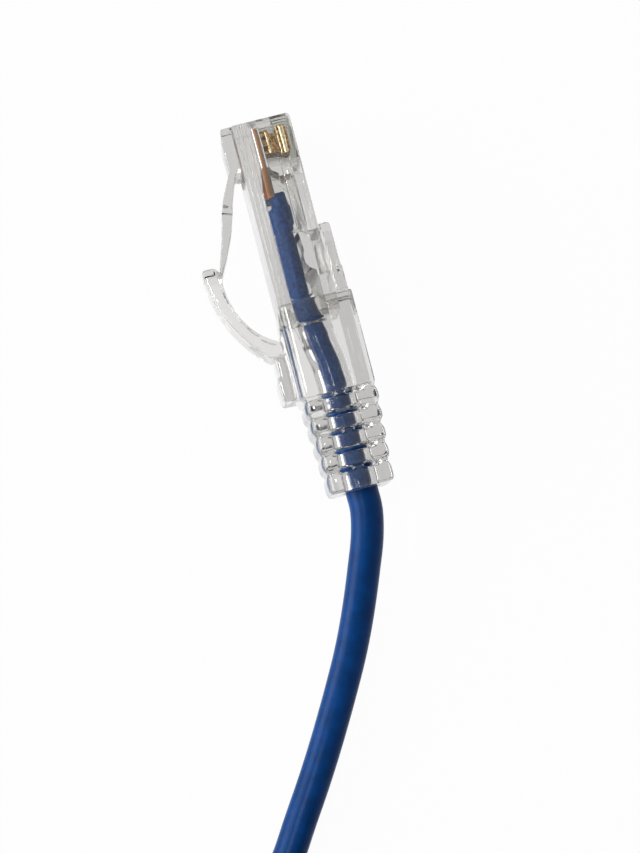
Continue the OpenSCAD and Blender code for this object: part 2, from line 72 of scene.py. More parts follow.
camera = bpy.data.objects.new("camera", bpy.data.cameras.new("camera"))
bpy.context.collection.objects.link(camera)
bpy.context.scene.camera = camera
bpy.context.scene.view_settings.view_transform = "Standard"
eye, aim = in_plug_a(*CAMERA_EYE), in_plug_a(*CAMERA_AIM)
forward = (aim - eye).normalized()
picture_up = Vector((math.sin(CAMERA_ROLL), math.cos(CAMERA_ROLL), 0))
right = forward.cross(picture_up).normalized()
up = right.cross(forward)
camera.matrix_world = Matrix((
    (right[0], up[0], -forward[0], eye[0]),
    (right[1], up[1], -forward[1], eye[1]),
    (right[2], up[2], -forward[2], eye[2]),
    (0, 0, 0, 1),
))
camera.data.sensor_fit = "VERTICAL"
camera.data.sensor_height = SENSOR
camera.data.lens = SENSOR * FOCAL_PIXELS / PICTURE_PIXELS
camera.data.clip_start = 0.01
camera.data.clip_end = 10

# ---- The cord ----
# A slim patch cord: four twisted pairs in a thin extruded jacket of satin navy PVC.
# It leaves the boot, drops to the table and goes into an oval hank, wound in and
# out in three layers. The places are in plug A's frame, with z from the table.

CORD_D = 3.8
LEAD = [
    (-2.35, -42.95, 6.75), (-2.4, -45.4, 6.7), (-3.1, -48.4, 6.4), (-4.2, -51.4, 5.8),
    (-5.4, -54.5, 5.1), (-6.7, -57.6, 4.3), (-8.1, -60.6, 3.5), (-9.8, -63.8, 2.8),
    (-11.6, -67, 2.3), (-13.6, -70.4, 2), (-15.8, -73.9, 1.9), (-18.2, -77.5, 1.9),
    (-21, -81.7, 1.9), (-24.3, -85.4, 1.9), (-28.3, -88.8, 2), (-32.2, -92.3, 2.3),
]
HANK_X, HANK_Y, HANK_LOW = -19.9, -119.4, 2.8
FOLD_R, HANK_RUN = 11.4, 20
FOLD_SHARE, FIRST_TURN = 0.375, 0.3125
LAYERS, LAYER_TURNS = 3, 2
HANK_TURNS = LAYERS * LAYER_TURNS + 0.25
TURN_STEP = CORD_D + 0.5
TAIL_START, TAIL_SWEEP = 230, 117
RINGS_A_TURN, TAIL_STEPS, CURVE_STEPS = 48, 7, 4
CORD_SIDES = 24
PAIR_RIDGE, PAIR_LAY = 0.012, 70
FAR_EXIT = (HANK_X + FOLD_R + 3.7, HANK_Y - HANK_RUN / 2 + 0.5, PLUG_B[2])


def eased(t):
    """A soft start and a soft stop between 0 and 1."""
    return (1 - math.cos(math.pi * min(1, max(0, t)))) / 2


def oval(share, r):
    """A point on the hank's oval of radius r, at a share of the way round."""
    if share >= 0.5:
        x, y = oval(share - 0.5, r)
        return -x, -y
    if share < FOLD_SHARE:
        angle = math.pi * share / FOLD_SHARE
        return r * math.cos(angle), HANK_RUN / 2 + r * math.sin(angle)
    return -r, HANK_RUN * (0.5 - (share - FOLD_SHARE) / (0.5 - FOLD_SHARE))


def hank_r(turned):
    """The folds' radius: one layer is wound inwards and the next outwards."""
    return FOLD_R + LAYER_TURNS * TURN_STEP * abs((turned / LAYER_TURNS) % 2 - 1)


def hank_z(turned):
    """The cord's height: it climbs a step where one layer ends."""
    climbs = [eased(2 * (turned - k * LAYER_TURNS) + 0.5) for k in range(1, LAYERS + 1)]
    return HANK_LOW + TURN_STEP * sum(climbs)


def hank_at(turned):
    x, y = oval((turned + FIRST_TURN) % 1, hank_r(turned))
    return HANK_X + x, HANK_Y + y, hank_z(turned)


def tail_at(t):
    """The tail goes round the last fold, widening, and rises into plug B's boot."""
    start = hank_r(HANK_TURNS)
    wide = start + (FAR_EXIT[0] - HANK_X - start) * t
    angle = math.radians(TAIL_START + TAIL_SWEEP * t)
    low = hank_z(HANK_TURNS)
    return (
        HANK_X + wide * math.cos(angle), HANK_Y - HANK_RUN / 2 + wide * math.sin(angle),
        low + (FAR_EXIT[2] - low) * t * t * (3 - 2 * t),
    )


def smooth_route(points, steps):
    """A smooth curve through the points, with that many steps between neighbours."""
    points = [Vector(p) for p in points]
    ends = [2 * points[0] - points[1]] + points + [2 * points[-1] - points[-2]]
    route = []
    for a, b, c, d in zip(ends, ends[1:], ends[2:], ends[3:]):
        for k in range(steps):
            t = k / steps
            route.append(0.5 * (
                2 * b + (c - a) * t + (2 * a - 5 * b + 4 * c - d) * t * t
                + (3 * b - a - 3 * c + d) * t * t * t
            ))
    return route + [points[-1]]


hank_rings = round(HANK_TURNS * RINGS_A_TURN)
hank = [hank_at(HANK_TURNS * k / hank_rings) for k in range(hank_rings + 1)]
tail = [tail_at((k + 1) / TAIL_STEPS) for k in range(TAIL_STEPS)]
cord_route = [
    Vector((p[0] + PLUG_A[0], p[1] + PLUG_A[1], p[2])) * MM
    for p in smooth_route(LEAD + hank[:1], CURVE_STEPS)
    + [Vector(q) for q in hank[1:-1]]
    + smooth_route(hank[-1:] + tail + [FAR_EXIT], CURVE_STEPS)
]


TUBE_CREASE = math.radians(50)


def tube(name, route, radius, sides):
    """A closed round tube along the route; radius is a function of length and angle, in mm."""
    mesh = bpy.data.meshes.new(name)
    maker = bmesh.new()
    rings, run, side = [], 0.0, None
    for k, point in enumerate(route):
        along = (route[min(k + 1, len(route) - 1)] - route[max(k - 1, 0)]).normalized()
        if side is None:
            side = along.orthogonal().normalized()
        else:
            side = (side - along * side.dot(along)).normalized()
        other = along.cross(side)
        run += (point - route[k - 1]).length / MM if k else 0
        ring = []
        for s in range(sides):
            a = 2 * math.pi * s / sides
            r = radius(run, a) * MM
            ring.append(maker.verts.new(point + r * (side * math.cos(a) + other * math.sin(a))))
        rings.append(ring)
    for first, second in zip(rings, rings[1:]):
        for s in range(sides):
            t = (s + 1) % sides
            maker.faces.new((first[s], first[t], second[t], second[s]))
    maker.faces.new(rings[0][::-1])
    maker.faces.new(rings[-1])
    maker.to_mesh(mesh)
    maker.free()
    mesh.shade_smooth()
    mesh.set_sharp_from_angle(angle=TUBE_CREASE)
    piece = bpy.data.objects.new(name, mesh)
    bpy.context.collection.objects.link(piece)
    return piece


def jacket_radius(run, angle):
    """Four pairs inside a thin jacket show as slow, shallow ridges round the cord."""
    ridges = math.cos(3 * angle - 2 * math.pi * run / PAIR_LAY)
    return CORD_D / 2 * (1 - PAIR_RIDGE + PAIR_RIDGE * ridges)


patch_cord = tube("patch_cord", cord_route, jacket_radius, CORD_SIDES)


def linear(colour):
    """An sRGB hex colour as linear red, green, blue and alpha."""
    parts = [int(colour[k:k + 2], 16) / 255 for k in (1, 3, 5)]
    return [p / 12.92 if p <= 0.04045 else ((p + 0.055) / 1.055) ** 2.4 for p in parts] + [1]


def add(tree, kind, inputs=None, **settings):
    """Adds a node; each input is a value, or an output socket to link."""
    made = tree.nodes.new(kind)
    for name, value in settings.items():
        setattr(made, name, value)
    for socket, value in (inputs or {}).items():
        if isinstance(value, bpy.types.NodeSocket):
            tree.links.new(value, made.inputs[socket])
        else:
            made.inputs[socket].default_value = value
    return made


def new_material(name):
    made = bpy.data.materials.new(name)
    made.use_nodes = True
    made.node_tree.nodes.clear()
    return made, made.node_tree


# PVC, extruded as the cord's jacket: satin, with a fine matt grain that spreads the highlight.
# Inside the plug the same PVC is painted paler, with fine light patches of painted highlight.
JACKET_GRAIN, JACKET_GRAIN_DEEP = 0.14, 0.014


def satin_pvc(name, dark, light, specular, mottle_size):
    """Navy PVC between two shades, in patches of mottle_size mm."""
    made, tree = new_material(name)
    where = add(tree, "ShaderNodeTexCoord").outputs["Object"]
    grain = add(tree, "ShaderNodeTexNoise", {
        "Vector": where, "Scale": 1 / (JACKET_GRAIN * MM), "Detail": 2,
    })
    waves = add(tree, "ShaderNodeTexNoise", {
        "Vector": where, "Scale": 1 / (mottle_size * MM), "Detail": 3,
    })
    mottle = add(tree, "ShaderNodeMapRange", {
        "Value": waves.outputs["Fac"], "From Min": 0.35, "From Max": 0.65,
    })
    tint = add(tree, "ShaderNodeMix", {
        "Factor": mottle.outputs["Result"], "A": linear(dark), "B": linear(light),
    }, data_type="RGBA")
    shine = add(tree, "ShaderNodeMapRange", {
        "Value": grain.outputs["Fac"], "To Min": 0.22, "To Max": 0.42,
    })
    bump = add(tree, "ShaderNodeBump", {
        "Height": grain.outputs["Fac"], "Strength": 0.7, "Distance": JACKET_GRAIN_DEEP * MM,
    })
    skin = add(tree, "ShaderNodeBsdfPrincipled", {
        "Base Color": tint.outputs["Result"], "Roughness": shine.outputs["Result"],
        "Normal": bump.outputs["Normal"], "IOR": 1.5, "Specular IOR Level": specular,
    })
    add(tree, "ShaderNodeOutputMaterial", {"Surface": skin.outputs["BSDF"]})
    return made


jacket_pvc = satin_pvc("extruded_pvc_navy", "#053A74", "#074488", specular=0.1, mottle_size=2)
# The inside copy is painted paler, and its fine light blue patches are painted speckle highlights.
pressed_pvc_painted_highlights = satin_pvc("pressed_pvc_navy_painted_highlights", "#05408A", "#1E68BE", specular=0.15, mottle_size=0.4)

patch_cord.data.materials.append(jacket_pvc)
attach(patch_cord, "cable")
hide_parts("cord_lead", "cord_coil", "cord_tail")

# Inside each plug the jacket lies pressed flat, and it is round again in the strain
# relief. Its stripped end is squeezed thin. Each section is in mm: how far behind the
# nose, how deep from the contact face its middle lies, how thick and how wide.
JACKET_SECTIONS = [
    (7.95, 3.5, 1.55, 3.9), (8.05, 3.5, 1.65, 4.3), (9.45, 3.5, 1.9, 4.4),
    (9.6, 3.65, 2.56, 4.5), (13.2, 3.65, 2.6, 4.5), (20.4, 3.6, 2.55, 4.5),
    (21.6, 3.4, 2.6, 4.5), (23.4, 3.15, 2.9, 4.2), (25, 2.95, 3.65, 3.8),
    (29, 2.45, 3.76, 3.78), (30.6, 2.35, 3.76, 3.78), (42.95, 2.35, 3.78, 3.78),
]
JACKET_SIDES, JACKET_STEP = 40, 0.25
CREASED_TO = 25


def jacket_section(back):
    """Depth, thickness and width of the jacket at a distance behind the nose."""
    for first, second in zip(JACKET_SECTIONS, JACKET_SECTIONS[1:]):
        if back <= second[0]:
            t = (back - first[0]) / (second[0] - first[0])
            t = t * t * (3 - 2 * t)
            return [p + (q - p) * t for p, q in zip(first[1:], second[1:])]
    return JACKET_SECTIONS[-1][1:]


def flat_jacket(name, place):
    """The pressed jacket, with shallow creases that fade out where it is round again."""
    maker = bmesh.new()
    rings = []
    back = JACKET_SECTIONS[0][0]
    while back < JACKET_SECTIONS[-1][0] + 0.01:
        deep, thick, wide = jacket_section(back)
        ring = []
        for s in range(JACKET_SIDES):
            a = 2 * math.pi * (s + 0.5) / JACKET_SIDES
            crease = 0.02 * math.sin(7 * a + 0.5 * back)
            crease += 0.012 * math.sin(2.1 * back + 2 * math.cos(a))
            r = thick / 2 + crease * min(1, max(0, (CREASED_TO - back) / 2))
            across = r * math.sin(a) + math.copysign((wide - thick) / 2, math.sin(a))
            ring.append(maker.verts.new(place(-deep - r * math.cos(a), -back, across)))
        rings.append(ring)
        back += JACKET_STEP
    for first, second in zip(rings, rings[1:]):
        for s in range(JACKET_SIDES):
            t = (s + 1) % JACKET_SIDES
            maker.faces.new((first[s], second[s], second[t], first[t]))
    maker.faces.new(rings[0])
    maker.faces.new(rings[-1][::-1])
    bmesh.ops.recalc_face_normals(maker, faces=maker.faces)
    mesh = bpy.data.meshes.new(name)
    maker.to_mesh(mesh)
    maker.free()
    mesh.shade_smooth()
    mesh.set_sharp_from_angle(angle=TUBE_CREASE)
    mesh.materials.append(pressed_pvc_painted_highlights)
    piece = bpy.data.objects.new(name, mesh)
    bpy.context.collection.objects.link(piece)
    return piece


on_cord = []
for plug, place in PLUGS.items():
    inner = flat_jacket(plug + "_pressed_jacket", place)
    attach(inner, "cable")
    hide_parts(plug + "_jacket_end")
    if plug == "plug_b":
        on_cord.append(inner)

# ---- Table and light ----
# A white laminate table that runs out of view, a large soft lamp low on the left and
# a small one above, in a pale grey room that is darkest overhead.

TABLE_HALF, TABLE_GLOW = 2, 0.97
ROOM_GREYS = ((0.1, 0.9), (0.6, 0.75), (0.93, 0.65), (0.985, 0.5))
ROOM_LIGHT = 0.18
table_mesh = bpy.data.meshes.new("table_top")
table_mesh.from_pydata([
    (-TABLE_HALF, -TABLE_HALF, 0), (TABLE_HALF, -TABLE_HALF, 0),
    (TABLE_HALF, TABLE_HALF, 0), (-TABLE_HALF, TABLE_HALF, 0),
], [], [(0, 1, 2, 3)])
table_top = bpy.data.objects.new("table_top", table_mesh)
bpy.context.collection.objects.link(table_top)
laminate, tree = new_material("white_laminate")
ray = add(tree, "ShaderNodeLightPath")
seen = add(tree, "ShaderNodeMath", {
    0: ray.outputs["Is Camera Ray"], 1: ray.outputs["Is Glossy Ray"],
}, operation="MAXIMUM")
seen = add(tree, "ShaderNodeMath", {
    0: seen.outputs[0], 1: ray.outputs["Is Transmission Ray"],
}, operation="MAXIMUM")
share = add(tree, "ShaderNodeMath", {0: seen.outputs[0], 1: TABLE_GLOW}, operation="MULTIPLY")
paper = add(tree, "ShaderNodeBsdfDiffuse", {"Color": linear("#F4F4F4")})
glow = add(tree, "ShaderNodeEmission", {"Color": linear("#FFFFFF"), "Strength": 1.0})
both = add(tree, "ShaderNodeMixShader", {
    0: share.outputs[0], 1: paper.outputs[0], 2: glow.outputs[0],
})
add(tree, "ShaderNodeOutputMaterial", {"Surface": both.outputs[0]})
table_mesh.materials.append(laminate)

world = bpy.data.worlds.new("room")
bpy.context.scene.world = world
world.use_nodes = True
world.node_tree.nodes.clear()
tree = world.node_tree
facing = add(tree, "ShaderNodeTexCoord").outputs["Generated"]
height = add(tree, "ShaderNodeSeparateXYZ", {0: facing}).outputs["Z"]
shade = add(tree, "ShaderNodeValToRGB", {"Fac": height})
for step, (stop, grey) in enumerate(ROOM_GREYS):
    if step > 1:
        shade.color_ramp.elements.new(stop)
    shade.color_ramp.elements[step].position = stop
    shade.color_ramp.elements[step].color = (grey, grey, grey, 1)
ray = add(tree, "ShaderNodeLightPath")
dim = add(tree, "ShaderNodeMapRange", {
    "Value": ray.outputs["Is Diffuse Ray"], "To Min": 1.0, "To Max": ROOM_LIGHT,
})
room = add(tree, "ShaderNodeBackground", {
    "Color": shade.outputs["Color"], "Strength": dim.outputs["Result"],
})
white = add(tree, "ShaderNodeBackground", {"Color": linear("#FFFFFF"), "Strength": 1.0})
both = add(tree, "ShaderNodeMixShader", {
    0: ray.outputs["Is Camera Ray"], 1: room.outputs[0], 2: white.outputs[0],
})
add(tree, "ShaderNodeOutputWorld", {"Surface": both.outputs[0]})


def soft_light(name, stand, size, power):
    """A square lamp of that size in metres, turned to the origin."""
    lamp = bpy.data.lights.new(name, "AREA")
    lamp.size = size
    lamp.energy = power
    made = bpy.data.objects.new(name, lamp)
    bpy.context.collection.objects.link(made)
    made.location = stand
    made.rotation_euler = (-Vector(stand)).to_track_quat("-Z", "Y").to_euler()


soft_light("key", (-0.6, 0.1, 0.2), size=0.5, power=4.2)
soft_light("top", (-0.2, 0.08, 0.55), size=0.09, power=0.85)

# ---- Clear mouldings ----
# The housing and latch are clear polycarbonate, and the boot and guard are clear
# soft PVC. All are injection moulded, so each edge has a small radius.

FLOW_WAVE = 1.6


def clear_plastic(name, colour, ior, roughness, ripple):
    """Clear moulded plastic; ripple is the height of its flow waves in mm."""
    made, tree = new_material(name)
    where = add(tree, "ShaderNodeTexCoord").outputs["Object"]
    waves = add(tree, "ShaderNodeTexNoise", {
        "Vector": where, "Scale": 1 / (FLOW_WAVE * MM), "Detail": 2,
    })
    bump = add(tree, "ShaderNodeBump", {
        "Height": waves.outputs["Fac"], "Strength": 1.0, "Distance": ripple * MM,
    })
    skin = add(tree, "ShaderNodeBsdfPrincipled", {
        "Base Color": linear(colour), "Roughness": roughness, "IOR": ior,
        "Transmission Weight": 1.0, "Normal": bump.outputs["Normal"],
    })
    ray = add(tree, "ShaderNodeLightPath")
    lit = add(tree, "ShaderNodeMath", {
        0: ray.outputs["Is Shadow Ray"], 1: ray.outputs["Is Diffuse Ray"],
    }, operation="MAXIMUM")
    through = add(tree, "ShaderNodeBsdfTransparent", {"Color": linear(colour)})
    both = add(tree, "ShaderNodeMixShader", {
        0: lit.outputs[0], 1: skin.outputs[0], 2: through.outputs[0],
    })
    add(tree, "ShaderNodeOutputMaterial", {"Surface": both.outputs[0]})
    return made


# Polycarbonate is glossy and bends light strongly; soft PVC is a little milky. What
# tints them acts at the outside faces, so the faces inside are clean. Thin edges bend
# light less than they should, or they would trap it and show as black lines.
polycarbonate = clear_plastic("moulded_polycarbonate", "#CDCCCA", 1.58, 0.015, 0.006)
inner_polycarbonate = clear_plastic("inner_polycarbonate", "#FAFAF9", 1.58, 0.01, 0.004)
thin_edge = clear_plastic("thin_moulded_edge", "#F2F2F0", 1.15, 0.02, 0.004)
thin_latch = clear_plastic("thin_latch_edge", "#CDCCCA", 1.2, 0.02, 0.004)
thin_tongue = clear_plastic("thin_tongue_edge", "#D4D3D1", 1.2, 0.03, 0.004)
soft_pvc = clear_plastic("moulded_soft_pvc", "#C4C3C1", 1.53, 0.07, 0.012)
thin_soft_pvc = clear_plastic("thin_soft_pvc", "#E4E3E1", 1.46, 0.05, 0.02)
inner_soft_pvc = clear_plastic("inner_soft_pvc", "#FAFAF9", 1.53, 0.02, 0.012)


def prism(maker, place, outline, low, high):
    """Adds a closed prism: outline points are (back, deep) in mm, across from low to high."""
    sides = [[maker.verts.new(place(-d, -b, z)) for b, d in outline] for z in (low, high)]
    faces = [maker.faces.new(sides[0]), maker.faces.new(sides[1][::-1])]
    for k in range(len(outline)):
        n = (k + 1) % len(outline)
        faces.append(maker.faces.new((sides[0][k], sides[1][k], sides[1][n], sides[0][n])))
    bmesh.ops.recalc_face_normals(maker, faces=faces)


def box_outline(back, deep):
    """A rectangle from two distances behind the nose and two depths."""
    return [(back[0], deep[0]), (back[1], deep[0]), (back[1], deep[1]), (back[0], deep[1])]


def solid(name, maker):
    """The mesh in the making as an object, faces outwards."""
    bmesh.ops.recalc_face_normals(maker, faces=maker.faces)
    mesh = bpy.data.meshes.new(name)
    maker.to_mesh(mesh)
    maker.free()
    made = bpy.data.objects.new(name, mesh)
    bpy.context.collection.objects.link(made)
    return made


MERGE_DIST, MERGE_ANGLE = 0.0005, math.radians(0.5)
BEVEL_ANGLE, SHARP_ANGLE = math.radians(35), math.radians(16)


def moulding(name, node, plastic, edge=0, voxel=0, passes=0, cut=None, joined=None):
    """The CAD node's own shape with small radii: an edge bevel, or a fine remesh."""
    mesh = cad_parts[node].data.copy()
    mesh.name = name
    maker = bmesh.new()
    maker.from_mesh(mesh)
    bmesh.ops.remove_doubles(maker, verts=maker.verts, dist=MERGE_DIST * MM)
    bmesh.ops.dissolve_limit(maker, angle_limit=MERGE_ANGLE, verts=maker.verts, edges=maker.edges)
    maker.to_mesh(mesh)
    maker.free()
    piece = bpy.data.objects.new(name, mesh)
    bpy.context.collection.objects.link(piece)
    tools = []
    for tool, action in ((joined, "UNION"), (cut, "DIFFERENCE")):
        if tool:
            step = piece.modifiers.new(action.lower(), "BOOLEAN")
            step.operation = action
            step.object = tool
            step.solver = "EXACT"
            tools.append(tool)
    if edge:
        rounding = piece.modifiers.new("rounded_edges", "BEVEL")
        rounding.width = edge * MM
        rounding.segments = 2
        rounding.limit_method = "ANGLE"
        rounding.angle_limit = BEVEL_ANGLE
        rounding.use_clamp_overlap = False
    if voxel:
        fine = piece.modifiers.new("fine_mesh", "REMESH")
        fine.mode = "VOXEL"
        fine.voxel_size = voxel * MM
        soft = piece.modifiers.new("soft_edges", "SMOOTH")
        soft.factor = 0.5
        soft.iterations = passes
    bpy.context.view_layer.update()
    evaluated = piece.evaluated_get(bpy.context.evaluated_depsgraph_get())
    shaped = bpy.data.meshes.new_from_object(evaluated)
    piece.modifiers.clear()
    piece.data = shaped
    shaped.materials.clear()
    shaped.materials.append(plastic)
    shaped.polygons.foreach_set("material_index", [0] * len(shaped.polygons))
    shaped.shade_smooth()
    if not voxel:
        shaped.set_sharp_from_angle(angle=SHARP_ANGLE)
    for tool in tools:
        bpy.data.objects.remove(tool)
    return piece


PIN_PITCH, SLOT_HALF = 1.02, 0.2
BODY_HALF = 5.84
# The mould's lines in both wide faces: those that run lengthwise, as depth, width
# and where they start and stop, and those across, as their place behind the nose.
LONG_LINES = (
    (5.2, 0.16, -1, 20.4), (5.75, 0.1, -1, 20.4), (6.3, 0.14, -1, 20.4),
    (1.25, 0.12, 4.9, 13), (2.3, 0.1, 4.9, 13),
)
CROSS_LINES, CROSS_WIDE, CROSS_DEEP = (13.3, 20.65), 0.14, (2.55, 5)
LINE_FLOOR, LINE_TOP = 0.985, 1.01
ROOT_ROOM, ROOT_ROOM_HALF = ((-0.5, 5.6), (6.6, 9)), 3.6


def housing_cutter(name, place):
    """Room for the latch's root, which is a piece of its own here, and the mould's lines."""
    maker = bmesh.new()
    prism(maker, place, box_outline(*ROOT_ROOM), -ROOT_ROOM_HALF, ROOT_ROOM_HALF)
    for side in (-BODY_HALF, BODY_HALF):
        low, high = sorted((side * LINE_FLOOR, side * LINE_TOP))
        for deep, wide, start, stop in LONG_LINES:
            outline = box_outline((start, stop), (deep - wide / 2, deep + wide / 2))
            prism(maker, place, outline, low, high)
        for back in CROSS_LINES:
            prism(maker, place, box_outline((back, back + CROSS_WIDE), CROSS_DEEP), low, high)
    return solid(name, maker)


# Soft PVC clings to the neck of the plug, and the walls of a contact slot almost
# touch the blade, so light goes straight through both.
CLING_GLINT = 0.03
cling, tree = new_material("faces_in_contact")
through = add(tree, "ShaderNodeBsdfTransparent", {"Color": linear("#FCFCFB")})
glint = add(tree, "ShaderNodeBsdfGlossy", {"Color": linear("#FFFFFF"), "Roughness": 0.1})
both = add(tree, "ShaderNodeMixShader", {
    0: CLING_GLINT, 1: through.outputs[0], 2: glint.outputs[0],
})
add(tree, "ShaderNodeOutputMaterial", {"Surface": both.outputs[0]})


def split_materials(piece, place, others, kind_at):
    """Gives each face the material for its place: 0 is the outside's, then the others."""
    for other in others:
        piece.data.materials.append(other)
    origin = place(0, 0, 0)
    for face in piece.data.polygons:
        spot = (face.center - origin) / MM
        face.material_index = kind_at(-spot.y, -spot.x, spot.z)


# The four rules below give a face its material from where it is, in mm: how far
# behind the nose, how deep and how far across the plug.
MIDDLE_PIN = 4.5
SLOT_END, SLOT_FLOOR, SLOT_REACH = 4.3, 2.45, SLOT_HALF + 0.06
WIRE_BAY_END, WIRE_BAY_DEEP = 8, (0.3, 5)
HOUSING_SKIN = 5.7
HOUSING_FRONT, HOUSING_DEEP = 0.2, (0.2, 6.4)
NECK_START = 21.15


def kind_in_housing(back, deep, across):
    """Inner faces are clean, every other slot and the neck cling, the wire bay is thin."""
    pin = round(across / PIN_PITCH + MIDDLE_PIN)
    off_pin = abs(across - (pin - MIDDLE_PIN) * PIN_PITCH)
    in_slot = back < SLOT_END and 0 < deep < SLOT_FLOOR and off_pin < SLOT_REACH
    if back > NECK_START or in_slot and pin % 2:
        return 2
    in_skin = abs(across) < HOUSING_SKIN
    if SLOT_END < back < WIRE_BAY_END and WIRE_BAY_DEEP[0] < deep < WIRE_BAY_DEEP[1] and in_skin:
        return 3
    outside = (
        abs(across) > HOUSING_SKIN or back < HOUSING_FRONT
        or deep < HOUSING_DEEP[0] or deep > HOUSING_DEEP[1]
    )
    return int(not outside)


SHOULDER_BACK, HINGE_BACK, HINGE_OUT = (8, 9.4), (4.4, 5.7), 7.95


def kind_in_latch(back, deep, across):
    """The locking shoulders and the inside of the hinge are thin edges."""
    shoulder = SHOULDER_BACK[0] < back < SHOULDER_BACK[1]
    hinge = HINGE_BACK[0] < back < HINGE_BACK[1] and deep < HINGE_OUT
    return int(shoulder or hinge)


GUARD_TIP = 16


def kind_in_guard(back, deep, across):
    """The guard's tip is thin."""
    return int(back < GUARD_TIP)


SLEEVE_END, SLEEVE_HALF, SLEEVE_DEEP = 32, 6.05, (-0.3, 6.3)
POCKET, TONGUE_TIP = (21.2, 23.45), 14.1
BORE_START, BORE_DEEP, BORE_REACH = 30, 2.35, 2.4


def kind_in_boot(back, deep, across):
    """The pocket round the neck clings, the tongue's tip is thin, other inner faces are clean."""
    in_depth = SLEEVE_DEEP[0] < deep < SLEEVE_DEEP[1]
    in_sleeve = back < SLEEVE_END and abs(across) < SLEEVE_HALF and in_depth
    if in_sleeve and POCKET[0] < back < POCKET[1]:
        return 2
    if back < TONGUE_TIP:
        return 3
    in_bore = back > BORE_START and math.hypot(deep - BORE_DEEP, across) < BORE_REACH
    return int(in_sleeve or in_bore)


def soften(piece, place, front, passes):
    """Rounds the part behind front some more."""
    maker = bmesh.new()
    maker.from_mesh(piece.data)
    limit = place(0, -front, 0).y
    behind = [v for v in maker.verts if v.co.y < limit]
    for _ in range(passes):
        bmesh.ops.smooth_vert(
            maker, verts=behind, factor=0.5, use_axis_x=True, use_axis_y=True, use_axis_z=True,
        )
    maker.to_mesh(piece.data)
    maker.free()


def lean(piece, place, hinge, tip, out):
    """Bends a springy arm outwards: not at its hinge, and by out mm at its tip."""
    origin = place(0, 0, 0)
    for vertex in piece.data.vertices:
        back = (origin.y - vertex.co.y) / MM
        vertex.co.x -= out * MM * min(1, max(0, (back - hinge) / (tip - hinge)))


# The latch's hinge is a thin neck, moulded with both its root and its lever. The root
# is also the lip over the nose. Its outline is (behind the nose, deep).
ROOT = [
    (-0.55, 5.3), (-0.55, 7.7), (-0.3, 7.85), (1.3, 8.08), (2.5, 8.05), (4.2, 8.05), (5.1, 8.1),
    (5.3, 7.95), (4.95, 7.6), (4.7, 7.3), (4.9, 6.95), (4.95, 6.62), (-0.02, 6.62), (-0.02, 5.3),
]
ROOT_HALF = 3.1


def latch_root(name, place):
    maker = bmesh.new()
    prism(maker, place, ROOT, -ROOT_HALF, ROOT_HALF)
    return solid(name, maker)


# The strain relief tapers over its five slots: from the first to the last, t goes
# from 0 to 1, and each size is (at the first, change to the last).
FIRST_SLOT, SLOT_PITCH, SLOTS = 32.2, 2.1, 5
SLOT_GROOVE, FILL_HALF = 0.4, 0.45
RELIEF_HALF, RELIEF_FACE, RELIEF_BACK = (6.25, -1.35), (-1.9, 0.55), (6.6, -0.4)
FACE_FILL_FLOOR, BACK_FILL_FLOOR = 0.1, 4.6
SLEEVE_FILL, SLEEVE_FILL_HALF = ((23.5, 31.7), (0.4, 5.8)), 5.4


def boot_filling(name, place):
    """The sleeve is solid behind the plug, and the relief's slots stop beside the cord."""
    maker = bmesh.new()
    prism(maker, place, box_outline(*SLEEVE_FILL), -SLEEVE_FILL_HALF, SLEEVE_FILL_HALF)
    for k in range(SLOTS):
        t = k / (SLOTS - 1)
        back = FIRST_SLOT + k * SLOT_PITCH
        half, face, rear = (first + change * t for first, change in (
            RELIEF_HALF, RELIEF_FACE, RELIEF_BACK,
        ))
        half -= SLOT_GROOVE
        for deep in ((face + SLOT_GROOVE, FACE_FILL_FLOOR), (BACK_FILL_FLOOR, rear - SLOT_GROOVE)):
            outline = box_outline((back - FILL_HALF, back + FILL_HALF), deep)
            prism(maker, place, outline, -half, half)
    return solid(name, maker)


BORE_R, BORE_SIDES, BORE_RUN = 2.08, 32, range(93, 132)


def boot_bore(name, place):
    """The hole for the cord follows the jacket, a point every quarter of a millimetre."""
    route = [place(-jacket_section(b / 4)[0], -b / 4, 0) for b in BORE_RUN]
    return tube(name, route, lambda run, angle: BORE_R, BORE_SIDES)


ARM_LEAN = 0.35
for plug, place in PLUGS.items():
    end = plug[-1]
    housing = moulding(
        plug + "_clear_housing", plug + "_housing", polycarbonate, edge=0.05,
        cut=housing_cutter(plug + "_cutter", place),
    )
    split_materials(housing, place, (inner_polycarbonate, cling, thin_edge), kind_in_housing)
    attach(housing, "cable")
    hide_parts(plug + "_housing")
    latch = moulding(
        plug + "_clear_latch", plug + "_latch", polycarbonate, voxel=0.08, passes=14,
        joined=latch_root(plug + "_root", place),
    )
    lean(latch, place, hinge=4.3, tip=15.4, out=ARM_LEAN)
    split_materials(latch, place, (thin_latch,), kind_in_latch)
    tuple(place(-7.4, -4, 0))
    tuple(place(-7.9, -6.2, 0))
    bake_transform(latch)
    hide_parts(plug + "_latch")
    boot = moulding(
        plug + "_clear_boot", plug + "_boot", soft_pvc, voxel=0.17, passes=18,
        joined=boot_filling(plug + "_filling", place), cut=boot_bore(plug + "_bore", place),
    )
    soften(boot, place, front=31.9, passes=8)
    split_materials(boot, place, (inner_soft_pvc, cling, thin_tongue), kind_in_boot)
    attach(boot, "cable")
    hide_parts(plug + "_boot")
    guard = moulding(
        plug + "_clear_guard", plug + "_latch_guard", thin_soft_pvc, voxel=0.14, passes=30,
    )
    lean(guard, place, hinge=25.3, tip=14.7, out=ARM_LEAN)
    split_materials(guard, place, (thin_tongue,), kind_in_guard)
    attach(guard, "guard_" + end)
    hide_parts(plug + "_latch_guard")
    if plug == "plug_b":
        on_cord += [housing, latch, boot, guard]

# ---- Contacts ----
# Eight blades stamped from gold-plated bronze, one to a pin. Three beads run along
# each side; the crest stands to the contact face and the tines bite the wire.

PLATING_SPOT = 0.3


